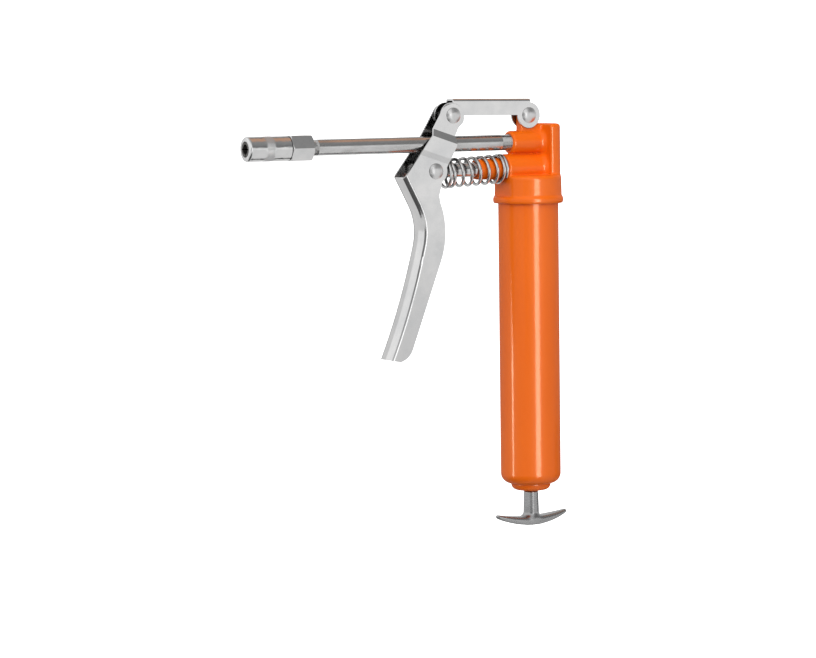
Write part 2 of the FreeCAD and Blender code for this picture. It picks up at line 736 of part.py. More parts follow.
def rounded_common(name, first, second, web, radius):
    """What two slabs share, with the long edges along both sides of the web rounded."""
    shared = doc.addObject("Part::Common", name + "_common")
    shared.Base = first
    shared.Tool = second
    doc.recompute()
    corners = [V(amount(corner[0]), 0, amount(corner[1])) for corner in web]
    edges = []
    for index, edge in enumerate(shared.Shape.Edges, start=1):
        ends = [V(vertex.X, 0, vertex.Z) for vertex in edge.Vertexes]
        on_web = all(min(end.distanceToPoint(corner) for corner in corners) < 0.01 for end in ends)
        if on_web and abs(edge.Vertexes[0].Y - edge.Vertexes[-1].Y) < 0.01:
            edges.append((index, amount(radius), amount(radius)))
    rounded = doc.addObject("Part::Fillet", name)
    rounded.Base = shared
    rounded.Edges = edges
    doc.recompute()
    return rounded


def lever(eye_x, eye_z):
    """Stamped channel: the outer form less the inner form, one plate gauge smaller."""
    outer = rounded_common("lever_outer", lever_side("lever_side", eye_x, eye_z),
                           lever_front("lever_face", "0"), WEB_FRONT, "lever_bend")
    inner = rounded_common("lever_inner", lever_hollow_side("lever_hollow"),
                           lever_front("lever_hollow_face", "plate_gauge"), WEB_BACK, "lever_bend_inside")
    channel = doc.addObject("Part::Cut", "lever")
    channel.Label = "lever"
    channel.Base = outer
    channel.Tool = inner
    put(channel, x="barrel_axis_x + plunger_pivot_x", z="pump_axis_z")
    doc.recompute()
    nodes.append(channel)


def barrel():
    turned("barrel", [
        ("neck_radius - neck_wall", "barrel_top_z"),
        ("neck_radius - neck_wall", "neck_step_z - barrel_wall"),
        ("barrel_radius - barrel_wall", "neck_step_z - barrel_wall - 0.7"),
        ("barrel_radius - barrel_wall", "barrel_base_z + barrel_corner", "barrel_corner - barrel_wall", -1),
        ("hub_radius", "barrel_base_z + barrel_wall"),
        ("rod_hole_radius", "barrel_base_z + barrel_wall"),
        ("rod_hole_radius", "hub_low_z"),
        ("hub_radius - hub_edge", "hub_low_z", "hub_edge", 1),
        ("hub_radius", "hub_low_z + hub_edge"),
        ("hub_radius", "barrel_base_z", "barrel_corner", 1),
        ("barrel_radius", "barrel_base_z + barrel_corner"),
        ("barrel_radius", "neck_step_z - 0.4"),
        ("barrel_radius - 0.4", "neck_step_z"),
        ("neck_radius", "neck_step_z"),
        ("neck_radius", "barrel_top_z"),
    ], x="barrel_axis_x")


def follower():
    turned("follower_washer", [
        ("rod_hole_radius", "washer_low_z"), ("washer_radius", "washer_low_z"),
        ("washer_radius", "nut_low_z"), ("rod_hole_radius", "nut_low_z"),
    ], x="barrel_axis_x")
    turned("follower_piston", [
        ("rod_hole_radius", "piston_low_z"), ("piston_radius - piston_lip", "piston_low_z"),
        ("piston_radius - piston_lip + 0.4", "piston_lip_z"), ("piston_radius", "piston_lip_z"),
        ("piston_radius", "washer_low_z - 1.0"), ("piston_radius - 1.0", "washer_low_z"),
        ("rod_hole_radius", "washer_low_z"),
    ], x="barrel_axis_x")
    turned("follower_plate", [
        ("rod_hole_radius", "plate_low_z"), ("plate_radius", "plate_low_z"),
        ("plate_radius", "piston_low_z"), ("rod_hole_radius", "piston_low_z"),
    ], x="barrel_axis_x")
    coil("follower_spring", "follower_coil_radius", "follower_wire_radius",
         "plate_low_z - barrel_base_z - barrel_wall", 13, x="barrel_axis_x", z="barrel_base_z + barrel_wall")


def rod():
    turned("follower_rod", [
        ("0", "rod_low_z"), ("rod_radius - 0.5", "rod_low_z"), ("rod_radius", "rod_low_z + 0.5"),
        ("rod_radius", "shoulder_low_z"), ("shoulder_radius", "shoulder_low_z"),
        ("shoulder_radius", "plate_low_z"), ("rod_radius", "plate_low_z"),
        ("rod_radius", "rod_top_z - 0.5"), ("rod_radius - 0.5", "rod_top_z"), ("0", "rod_top_z"),
    ], x="barrel_axis_x")
    nut = new_body("follower_nut")
    put(nut, x="barrel_axis_x")
    sketch = new_sketch(nut, "XY_Plane", out="nut_low_z")
    add_loop(sketch, hexagon("nut_half_flats", "nut_half_corners", "nut_quarter"))
    add_circle(sketch, "0", "0", "rod_radius + 0.01")
    extrude(nut, sketch, "nut_top_z - nut_low_z")
    nodes.append(nut)


def t_handle():
    """Crescent grip bar across the foot of a slightly tapered neck."""
    body = new_body("t_handle")
    put(body, x="barrel_axis_x")
    bar = new_sketch(body, "XZ_Plane")
    tip_z = "bar_low_z + bar_rise"
    add_loop(bar, [
        ("- bar_half_length", tip_z, "bar_outer_arc", 1),
        ("0", "bar_low_z", "bar_outer_arc", 1),
        ("bar_half_length", tip_z),
        ("bar_half_length - 0.6", tip_z + " + bar_end_gauge", "bar_inner_arc", -1),
        ("0", "bar_low_z + bar_gauge", "bar_inner_arc", -1),
        ("0.6 - bar_half_length", tip_z + " + bar_end_gauge"),
    ])
    extrude(body, bar, "bar_half_width + bar_half_width", both=True)
    plan = new_sketch(body, "XY_Plane", out="bar_low_z - 1.0")
    outside = "bar_half_length + 5.0"
    add_loop(plan, [
        ("- 5.0 - bar_half_length", "- barrel_radius"), (outside, "- barrel_radius"),
        (outside, "barrel_radius"), ("- 5.0 - bar_half_length", "barrel_radius"),
    ])
    add_loop(plan, [
        ("2.0 - bar_half_length", "- bar_end_half_width", "bar_plan_arc", 1),
        ("bar_half_length - 2.0", "- bar_end_half_width", "2.6", 1),
        ("bar_half_length - 2.0", "bar_end_half_width", "bar_plan_arc", 1),
        ("2.0 - bar_half_length", "bar_end_half_width", "2.6", 1),
    ])
    extrude(body, plan, "barrel_radius", kind="Pocket", backwards=True)
    spin(body, [
        ("0", "neck_low_z"), ("neck_low_radius", "neck_low_z"),
        ("neck_top_radius", "handle_top_z - 0.8"), ("neck_top_radius - 0.8", "handle_top_z"),
        ("0", "handle_top_z"),
    ])
    spin(body, [
        ("0", "rod_low_z - 0.3"), ("rod_radius + 0.02", "rod_low_z - 0.3"),
        ("rod_radius + 0.02", "handle_top_z + 1.0"), ("0", "handle_top_z + 1.0"),
    ], kind="Groove")
    nodes.append(body)


def write_parts():
    doc.recompute()
    for item in doc.Objects:
        if "Invalid" in item.State or "Error" in item.State:
            raise RuntimeError("%s is %s" % (item.Name, item.State))
    os.makedirs("parts", exist_ok=True)
    for node in nodes:
        if node.Shape.isNull() or not node.Shape.isValid() or not node.Shape.Solids:
            raise RuntimeError(node.Label + " has no valid solid")
        node.Shape.exportStep("parts/%s.step" % node.Label)


tilt_radians = math.radians(amount("link_tilt"))
far_pivot_x = amount("head_pivot_x") - amount("link_length") * math.cos(tilt_radians)
far_pivot_z = amount("head_pivot_z") + amount("link_length") * math.sin(tilt_radians)

coupler_sleeve()
coupler_jaws()
coupler_inside()
coupler_adapter()
extension_pipe()
head_hollows(head_casting())
head_fittings()
plunger()
coil("return_spring", "spring_coil_radius", "spring_wire_radius", "seat_x - spring_start_x", 8,
     x="barrel_axis_x + spring_start_x", z="pump_axis_z", along_x=True)
link(amount("link_tilt"))
lever(far_pivot_x - amount("plunger_pivot_x"), far_pivot_z - amount("pump_axis_z"))
rivet("link_head_rivet", "link_half_width", "barrel_axis_x + head_pivot_x", "head_pivot_z")
rivet("link_lever_rivet", "lever_eye_half_width",
      "barrel_axis_x - %.4f" % -far_pivot_x, "%.4f" % far_pivot_z)
rivet("plunger_rivet", "lever_grip_half_width", "barrel_axis_x + plunger_pivot_x", "pump_axis_z")
barrel()
follower()
rod()
t_handle()
write_parts()
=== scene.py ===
import json
import math

import bmesh
import bpy
import numpy as np
from mathutils import Matrix, Quaternion, Vector


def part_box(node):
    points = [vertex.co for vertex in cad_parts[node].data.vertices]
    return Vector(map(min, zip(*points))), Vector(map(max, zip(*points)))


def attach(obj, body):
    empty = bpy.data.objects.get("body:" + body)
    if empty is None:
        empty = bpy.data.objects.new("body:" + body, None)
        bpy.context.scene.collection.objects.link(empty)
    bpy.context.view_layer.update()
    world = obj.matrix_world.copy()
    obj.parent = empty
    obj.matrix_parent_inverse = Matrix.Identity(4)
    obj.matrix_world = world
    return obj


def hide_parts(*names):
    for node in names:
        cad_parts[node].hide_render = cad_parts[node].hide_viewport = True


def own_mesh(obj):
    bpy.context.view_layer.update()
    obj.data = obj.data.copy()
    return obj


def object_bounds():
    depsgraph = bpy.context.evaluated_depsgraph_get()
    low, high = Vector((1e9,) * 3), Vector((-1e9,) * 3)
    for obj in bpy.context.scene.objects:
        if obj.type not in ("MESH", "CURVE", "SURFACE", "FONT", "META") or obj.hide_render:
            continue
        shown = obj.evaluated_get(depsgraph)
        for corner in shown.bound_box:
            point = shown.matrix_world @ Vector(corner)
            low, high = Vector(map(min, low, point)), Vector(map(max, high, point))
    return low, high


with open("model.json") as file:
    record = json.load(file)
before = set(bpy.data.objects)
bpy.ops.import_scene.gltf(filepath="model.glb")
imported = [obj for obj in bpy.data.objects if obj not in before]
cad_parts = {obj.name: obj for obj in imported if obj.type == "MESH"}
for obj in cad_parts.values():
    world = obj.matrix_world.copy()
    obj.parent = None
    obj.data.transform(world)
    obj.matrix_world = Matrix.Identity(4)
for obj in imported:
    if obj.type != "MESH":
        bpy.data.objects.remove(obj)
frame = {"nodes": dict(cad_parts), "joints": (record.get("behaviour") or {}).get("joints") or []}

cad_box = [list(corner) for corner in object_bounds()]

MM = 0.001
NODES = frame["nodes"]

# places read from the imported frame, metres
BARREL_X = sum(corner.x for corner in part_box("barrel")) / 2
PUMP_Z = sum(corner.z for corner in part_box("plunger")) / 2
HEAD_PIVOT = next(Vector(joint["pos_m"]) for joint in frame["joints"] if joint["name"] == "link_swing")


# ---------------------------------------------------------------- shader helpers

class NodeKit:
    """Short-hand for building a node tree."""

    def __init__(self, tree, place):
        self.tree = tree
        self.place = self.add("ShaderNodeTexCoord").outputs[place]

    def add(self, kind, **values):
        node = self.tree.nodes.new(kind)
        for key, value in values.items():
            setattr(node, key, value)
        return node

    def feed(self, socket, value):
        """Give a socket a number, a colour or another node's output."""
        if isinstance(value, bpy.types.NodeSocket):
            self.tree.links.new(value, socket)
        else:
            socket.default_value = value

    def stretched(self, along):
        """Object coordinates scaled per axis, which draws a pattern out into lines."""
        node = self.add("ShaderNodeMapping")
        self.feed(node.inputs["Vector"], self.place)
        node.inputs["Scale"].default_value = along
        return node.outputs["Vector"]

    def noise(self, scale, detail=3.0, rough=0.5, vector=None):
        node = self.add("ShaderNodeTexNoise")
        self.feed(node.inputs["Vector"], vector or self.place)
        node.inputs["Scale"].default_value = scale
        node.inputs["Detail"].default_value = detail
        node.inputs["Roughness"].default_value = rough
        return node.outputs["Fac"]

    def cells(self, scale, vector=None):
        node = self.add("ShaderNodeTexVoronoi")
        self.feed(node.inputs["Vector"], vector or self.place)
        node.inputs["Scale"].default_value = scale
        return node.outputs["Distance"]

    def math(self, operation, first, second=0.0):
        node = self.add("ShaderNodeMath", operation=operation)
        self.feed(node.inputs[0], first)
        self.feed(node.inputs[1], second)
        return node.outputs["Value"]

    def spread(self, value, low, high, out_low=0.0, out_high=1.0):
        node = self.add("ShaderNodeMapRange")
        for socket, number in zip(list(node.inputs)[:5], (value, low, high, out_low, out_high)):
            self.feed(socket, number)
        return node.outputs["Result"]

    def mix(self, share, first, second):
        node = self.add("ShaderNodeMix", data_type="RGBA")
        self.feed(node.inputs[0], share)
        self.feed(node.inputs[6], first)
        self.feed(node.inputs[7], second)
        return node.outputs[2]

    def edge_mask(self, radius, low=0.02, high=0.25):
        """1 on edges and 0 on flats: how far a rounded normal turns away from the true one."""
        soft = self.add("ShaderNodeBevel", samples=4)
        soft.inputs["Radius"].default_value = radius
        dot = self.add("ShaderNodeVectorMath", operation="DOT_PRODUCT")
        self.feed(dot.inputs[0], soft.outputs["Normal"])
        self.feed(dot.inputs[1], self.add("ShaderNodeNewGeometry").outputs["Normal"])
        return self.spread(self.math("SUBTRACT", 1.0, dot.outputs["Value"]), low, high)

    def patch(self, middle, half):
        """1 inside a rectangle of the floor, 0 outside, with soft rims."""
        away = self.add("ShaderNodeVectorMath", operation="SUBTRACT")
        self.feed(away.inputs[0], self.place)
        away.inputs[1].default_value = (*middle, 0.0)
        shares = self.add("ShaderNodeVectorMath", operation="DIVIDE")
        self.feed(shares.inputs[0], away.outputs["Vector"])
        shares.inputs[1].default_value = (*half, 1.0)
        sides = self.add("ShaderNodeSeparateXYZ")
        self.feed(sides.inputs[0], shares.outputs["Vector"])
        along, across = (self.math("ABSOLUTE", sides.outputs[name]) for name in "XY")
        return self.spread(self.math("MAXIMUM", along, across), 0.85, 1.15, 1.0, 0.0)

    def hollow_mask(self, distance):
        """1 in corners and crevices, 0 on open faces, from ambient occlusion; used to paint shade into
        colours.
        """
        node = self.add("ShaderNodeAmbientOcclusion", samples=4)
        node.inputs["Distance"].default_value = distance
        return self.spread(node.outputs["AO"], 0.75, 0.2)

    def bump(self, height, depth, strength=1.0, before=None):
        node = self.add("ShaderNodeBump")
        node.inputs["Strength"].default_value = strength
        node.inputs["Distance"].default_value = depth
        self.feed(node.inputs["Height"], height)
        if before is not None:
            self.feed(node.inputs["Normal"], before)
        return node.outputs["Normal"]

    def ramp(self, value, stops):
        """Colour along a value from (position, colour) stops."""
        node = self.add("ShaderNodeValToRGB")
        self.feed(node.inputs["Fac"], value)
        elements = node.color_ramp.elements
        while len(elements) < len(stops):
            elements.new(1.0)
        for element, (position, colour) in zip(elements, stops):
            element.position = position
            element.color = colour
        return node.outputs["Color"]


class Paint(NodeKit):
    """One procedural material."""

    def __init__(self, name):
        self.material = bpy.data.materials.new(name)
        self.material.use_nodes = True
        super().__init__(self.material.node_tree, "Object")
        self.surface = self.tree.nodes["Principled BSDF"]

    def set(self, **values):
        for key, value in values.items():
            self.feed(self.surface.inputs[key.replace("_", " ")], value)
        return self.material


def grey(value, warm=0.0):
    return (value + warm, value, value - warm, 1.0)


def orange_paint():
    """Glossy sprayed enamel: fine orange peel, faint tone drift, thin at edges, painted shade in crevices.
    """
    p = Paint("orange_enamel")
    tone = p.mix(p.noise(22.0, 2.0), (0.79, 0.124, 0.002, 1), (0.84, 0.146, 0.003, 1))
    speck = p.spread(p.noise(2600.0, 2.0), 0.35, 0.75)
    tone = p.mix(p.math("MULTIPLY", speck, 0.08), tone, (0.95, 0.19, 0.02, 1))
    tone = p.mix(p.math("MULTIPLY", p.edge_mask(0.5 * MM), 0.20), tone, (1.0, 0.24, 0.03, 1))
    # painted shade: a darker, deeper orange where ambient occlusion finds corners and crevices
    tone = p.mix(p.math("MULTIPLY", p.hollow_mask(3 * MM), 0.40), tone, (0.62, 0.060, 0.002, 1))
    peel = p.noise(420.0, 2.0)
    drift = p.noise(60.0, 2.0)
    normal = p.bump(drift, 0.10 * MM, 0.5)
    normal = p.bump(peel, 0.012 * MM, 0.6, normal)
    smear = p.noise(34.0, 4.0, 0.6, p.stretched((1.0, 1.0, 0.25)))
    facing = p.add("ShaderNodeLayerWeight").outputs["Facing"]
    return p.set(
        Base_Color=tone,
        Roughness=p.spread(smear, 0.3, 0.7, 0.36, 0.48),
        Specular_IOR_Level=0.12,
        Coat_Weight=p.spread(facing, 0.25, 0.65, 1.0, 0.0),
        Coat_IOR=1.27,
        Coat_Roughness=p.spread(smear, 0.25, 0.75, 0.07, 0.15),
        Normal=normal,
        Coat_Normal=normal,
    )


def plated(name, tone, rough, wave, lines=None, relief=0.06):
    """Bright plating over pressed steel: shallow waves, hairlines, dull patches, darker pits and painted
    shade in hollows.
    """
    p = Paint(name)
    patches = p.noise(75.0, 4.0, 0.6)
    hair = p.noise(900.0, 3.0, 0.6, p.stretched(lines or (0.06, 1.0, 1.0)))
    colour = p.mix(p.spread(patches, 0.35, 0.7), grey(tone, 0.004), grey(tone * 0.90, -0.004))
    # painted shade: plating darkened almost to black where ambient occlusion finds hollows within 14 mm
    colour = p.mix(p.math("MULTIPLY", p.hollow_mask(14 * MM), 0.92), colour, grey(0.02))
    pits = p.spread(p.cells(520.0), 0.0, 0.10, 1.0, 0.0)
    pitted = p.math("MULTIPLY", pits, p.spread(patches, 0.55, 0.7, 0.0, 0.35))
    colour = p.mix(pitted, colour, grey(tone * 0.55))
    normal = p.bump(p.noise(wave, 2.0), relief * MM, 0.5)
    normal = p.bump(p.noise(wave * 3.1, 3.0), relief * 0.3 * MM, 0.5, normal)
    normal = p.bump(hair, 0.006 * MM, 0.5, normal)
    worn = p.math("MULTIPLY", p.edge_mask(0.35 * MM), 0.10)
    roughness = p.math("SUBTRACT", p.spread(patches, 0.3, 0.7, rough, rough * 1.7), worn)
    return p.set(Base_Color=colour, Metallic=1.0, Roughness=roughness, Normal=normal)


def turned_steel(name, tone, rough, axis, scale=1500.0):
    """Steel with fine marks round one axis (0 for X, 2 for Z), as left by turning or drawing."""
    p = Paint(name)
    squeeze = [0.05, 0.05, 0.05]
    squeeze[axis] = 1.0
    rings = p.noise(scale, 3.0, 0.6, p.stretched(squeeze))
    patches = p.noise(90.0, 4.0, 0.6)
    colour = p.mix(p.spread(patches, 0.35, 0.7), grey(tone), grey(tone * 0.82, 0.008))
    # painted shade: darker steel where ambient occlusion finds crevices
    colour = p.mix(p.math("MULTIPLY", p.hollow_mask(2 * MM), 0.5), colour, grey(tone * 0.3))
    return p.set(
        Base_Color=colour,
        Metallic=1.0,
        Roughness=p.spread(patches, 0.3, 0.7, rough, rough * 1.6),
        Normal=p.bump(rings, 0.010 * MM, 0.5),
    )


def drawn_pipe():
    """Plated pipe: lengthwise draw lines and softly mottled plating."""
    p = Paint("drawn_pipe")
    lines = p.noise(700.0, 3.0, 0.6, p.stretched((0.02, 1.0, 1.0)))
    mottle = p.noise(160.0, 4.0, 0.65, p.stretched((0.35, 1.0, 1.0)))
    colour = p.mix(p.spread(mottle, 0.4, 0.65), grey(0.74), grey(0.60, 0.004))
    normal = p.bump(mottle, 0.03 * MM, 0.5)
    normal = p.bump(lines, 0.008 * MM, 0.6, normal)
    roughness = p.spread(mottle, 0.3, 0.7, 0.16, 0.30)
    return p.set(Base_Color=colour, Metallic=1.0, Roughness=roughness, Normal=normal)


def cast_metal():
    """Blasted zinc casting: fine grain, dull sheen, polished at touched edges."""
    p = Paint("cast_grey_metal")
    grain = p.noise(1500.0, 3.0, 0.65)
    cloud = p.noise(110.0, 4.0, 0.6)
    colour = p.mix(p.spread(cloud, 0.35, 0.7), grey(0.46, -0.003), grey(0.37, -0.002))
    colour = p.mix(p.math("MULTIPLY", p.edge_mask(0.6 * MM), 0.35), colour, grey(0.68))
    # painted shade: darker grey where ambient occlusion finds crevices
    colour = p.mix(p.math("MULTIPLY", p.hollow_mask(3 * MM), 0.5), colour, grey(0.20))
    normal = p.bump(grain, 0.03 * MM, 0.5)
    roughness = p.spread(grain, 0.3, 0.7, 0.20, 0.30)
    return p.set(Base_Color=colour, Metallic=0.95, Roughness=roughness, Normal=normal)


def dark_steel():
    """Oiled, blackened steel inside the coupler and the barrel."""
    p = Paint("dark_oiled_steel")
    film = p.noise(260.0, 4.0, 0.6)
    colour = p.mix(p.spread(film, 0.35, 0.7), grey(0.10, 0.006), grey(0.18, 0.004))
    colour = p.mix(p.math("MULTIPLY", p.edge_mask(0.2 * MM), 0.6), colour, grey(0.42))
    return p.set(
        Base_Color=colour,
        Metallic=0.9,
        Roughness=p.spread(film, 0.3, 0.7, 0.25, 0.45),
        Normal=p.bump(film, 0.02 * MM, 0.5),
    )


def black_rubber():
    """Matt black rubber with a pale bloom."""
    p = Paint("black_rubber")
    grain = p.noise(1800.0, 3.0, 0.6)
    bloom = p.noise(120.0, 3.0)
    colour = p.mix(p.spread(bloom, 0.4, 0.7), grey(0.018), grey(0.045))
    return p.set(
        Base_Color=colour,
        Roughness=p.spread(grain, 0.3, 0.7, 0.55, 0.75),
        Normal=p.bump(grain, 0.02 * MM, 0.6),
    )


# dark cloths lying on the floor, seen only as reflections: (middle, half size), metres
CLOTHS = [
    ((-0.31, -0.06), (0.41, 0.41)),
    ((-0.19, -0.74), (0.27, 0.45)),
    ((0.42, 0.112), (0.25, 0.075)),
    ((1.75, 0.27), (0.90, 0.80)),
]


def stage_paper():
    """Pale paper, white to the camera; mirrors see it greyer, with dark cloths on it."""
    p = Paint("stage_paper")
    fibre = p.noise(9.0, 3.0)
    seen = p.add("ShaderNodeLightPath").outputs["Is Camera Ray"]
    cloth = 0.0
    for middle, half in CLOTHS:
        cloth = p.math("MAXIMUM", cloth, p.patch(middle, half))
    mirrored = p.spread(cloth, 0.0, 1.0, 0.60, 0.05)
    paper = p.mix(fibre, grey(0.48), grey(0.52))
    unseen = p.mix(cloth, grey(0.10), grey(0.03))
    return p.set(
        Base_Color=p.mix(seen, unseen, paper),
        Roughness=0.9,
        Specular_IOR_Level=0.1,
        Emission_Color=grey(1.0),
        Emission_Strength=p.math("ADD", p.math("MULTIPLY", seen, 0.8), mirrored),
    )


# ---------------------------------------------------------------- mesh helpers

def smooth_by_angle(mesh, degrees):
    mesh.shade_smooth()
    mesh.set_sharp_from_angle(angle=math.radians(degrees))


def new_piece(name, mesh, body, material, stands_for=()):
    """Put a finished mesh in the scene as a piece of the object."""
    piece = bpy.data.objects.new(name, mesh)
    bpy.context.collection.objects.link(piece)
    mesh.materials.clear()
    mesh.materials.append(material)
    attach(piece, body)
    if stands_for:
        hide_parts(*stands_for)
    return piece


BROAD_AREA_PER_RIM = 1.0 * MM  # a flat counts as broad above this area per length of its rim
FLAT_WITHIN = 6.5  # degrees between neighbours that still shade as one flat
SMOOTH_WITHIN = 50.0  # degrees between neighbours that shade as one rounding
GRIP_CROWN = 55.0  # lean of the lever's web normals per metre of width


def shade_evenly(mesh, crown):
    """Corner normals: broad flats shade flat, and the narrow roundings between them turn smoothly.

    A front web shades slightly crowned: crown is how much its normals lean outwards per metre of width.
    """
    around = [[] for _ in mesh.vertices]
    broad = set()
    for face in mesh.polygons:
        spots = [mesh.vertices[index].co for index in face.vertices]
        rim = sum((spot - spots[place - 1]).length for place, spot in enumerate(spots))
        if face.area > BROAD_AREA_PER_RIM * rim:
            broad.add(face.index)
        for vertex in face.vertices:
            around[vertex].append(face)
    normals = []
    for face in mesh.polygons:
        limit = math.cos(math.radians(FLAT_WITHIN if face.index in broad else SMOOTH_WITHIN))
        for vertex in face.vertices:
            near = [other for other in around[vertex] if other.normal.dot(face.normal) > limit]
            flats = [other for other in near if other.index in broad]
            total = Vector()
            for other in flats or near:
                total += other.normal * other.area
            normal = total.normalized() if total.length > 0 else face.normal.copy()
            normal.y += crown * max(0.0, -normal.x) * mesh.vertices[vertex].co.y
            normals.append(normal.normalized())
    mesh.normals_split_custom_set(normals)


def softened(node, body, material, width, crown=0.0):
    """A copy of a CAD node with its square edges broken by a small rounding, shown in its place."""
    mesh = NODES[node].data.copy()
    mesh.name = node + "_formed"
    form = bmesh.new()
    form.from_mesh(mesh)
    bmesh.ops.remove_doubles(form, verts=form.verts, dist=1e-7)
    bmesh.ops.dissolve_limit(form, angle_limit=math.radians(0.4), verts=form.verts, edges=form.edges)
    square = [edge for edge in form.edges
              if edge.is_manifold and edge.calc_face_angle(0) > math.radians(50.0)]
    bmesh.ops.bevel(form, geom=square, offset=width, segments=2, profile=0.6, affect="EDGES",
                    clamp_overlap=True)
    bmesh.ops.recalc_face_normals(form, faces=form.faces)
    for face in form.faces:
        face.smooth = True
    form.to_mesh(mesh)
    form.free()
    shade_evenly(mesh, crown)
    return new_piece(node + "_formed", mesh, body, material, [node])


def grid_faces(rows, columns, wrap_rows=False):
    """Quads of a rows x columns sheet of points whose columns close on themselves."""
    row = np.arange(rows if wrap_rows else rows - 1)[:, None]
    column = np.arange(columns)[None, :]
    next_row = (row + 1) % rows
    next_column = (column + 1) % columns
    corners = (row * columns + column, next_row * columns + column,
               next_row * columns + next_column, row * columns + next_column)
    return np.stack(np.broadcast_arrays(*corners), axis=-1).reshape(-1, 4)


def mesh_of(name, points, faces, sharp_degrees=40.0):
    mesh = bpy.data.meshes.new(name)
    corners = [tuple(int(index) for index in face) for face in faces]
    mesh.from_pydata([tuple(point) for point in points], [], corners)
    mesh.update()
    smooth_by_angle(mesh, sharp_degrees)
    return mesh


def turned_mesh(name, outline, axis, centre, steps=160, relief=None, degrees=30.0):
    """Closed outline of (along, radius) in millimetres, turned about X or Z through centre."""
    angle = np.linspace(0, 2 * np.pi, steps, endpoint=False)
    along, radius = np.array(outline, float).T
    ring = np.repeat(radius[:, None], steps, axis=1)
    if relief is not None:
        ring = ring + relief(along[:, None], angle[None, :])
    along = np.repeat(along[:, None], steps, axis=1)
    across, up = ring * np.cos(angle), ring * np.sin(angle)
    parts = (along, across, up) if axis == "x" else (across, up, along)
    points = np.stack(parts, axis=-1).reshape(-1, 3) * MM + np.array(centre)
    faces = grid_faces(len(outline), steps, wrap_rows=True)
    return mesh_of(name, points, faces, degrees)


def arc(centre, radius, first, last, steps):
    """Points on an arc in (along, radius) space; angles in degrees."""
    angles = np.radians(np.linspace(first, last, steps))
    return [(centre[0] + radius * math.cos(a), centre[1] + radius * math.sin(a)) for a in angles]


def coil_mesh(name, start, direction, length, coil_radius, wire_radius, turns, close_turns,
              sides=14, steps=44, sag=0.0):
    """Compression spring with close-wound end coils, millimetres; its start (metres) may hang by sag."""
    count = int(turns * steps)
    turn = np.linspace(0, turns, count)
    pitch_free = np.clip((turn - close_turns) / (turns - 2 * close_turns), 0, 1)
    closed = np.minimum(turn, close_turns) + np.maximum(turn - (turns - close_turns), 0)
    ends = 2 * wire_radius * 1.06 * closed
    rise = wire_radius + ends + pitch_free * (length - 2 * wire_radius - ends[-1])
    angle = 2 * np.pi * turn
    spine = np.stack([rise, coil_radius * np.cos(angle), coil_radius * np.sin(angle)], axis=-1)
    tangent = np.gradient(spine, axis=0)
    tangent /= np.linalg.norm(tangent, axis=1, keepdims=True)
    outward = np.stack([np.zeros(count), np.cos(angle), np.sin(angle)], axis=-1)
    other = np.cross(tangent, outward)
    round_angle = np.linspace(0, 2 * np.pi, sides, endpoint=False)
    ring = (outward[:, None, :] * np.cos(round_angle)[None, :, None]
            + other[:, None, :] * np.sin(round_angle)[None, :, None])
    points = spine[:, None, :] + ring * wire_radius
    points[:, :, 2] -= sag * (1 - points[:, :, 0] / length)
    points = points.reshape(-1, 3)
    if direction == "z":
        points = points[:, [1, 2, 0]]
    faces = [tuple(face) for face in grid_faces(count, sides)]
    faces.append(tuple(range(sides))[::-1])
    faces.append(tuple(range((count - 1) * sides, count * sides)))
    return mesh_of(name, points * MM + np.array(start), faces, 60.0)


# ---------------------------------------------------------------- rounded castings from distance fields

def blend_in(first, second, radius):
    """Smooth union of two distance fields."""
    share = np.clip(0.5 + 0.5 * (second - first) / radius, 0, 1)
    return second * (1 - share) + first * share - radius * share * (1 - share)


def keep_both(first, second, radius):
    """Smooth intersection."""
    return -blend_in(-first, -second, radius)


def cut_out(solid, tool, radius=0.5):
    return keep_both(solid, -tool, radius)


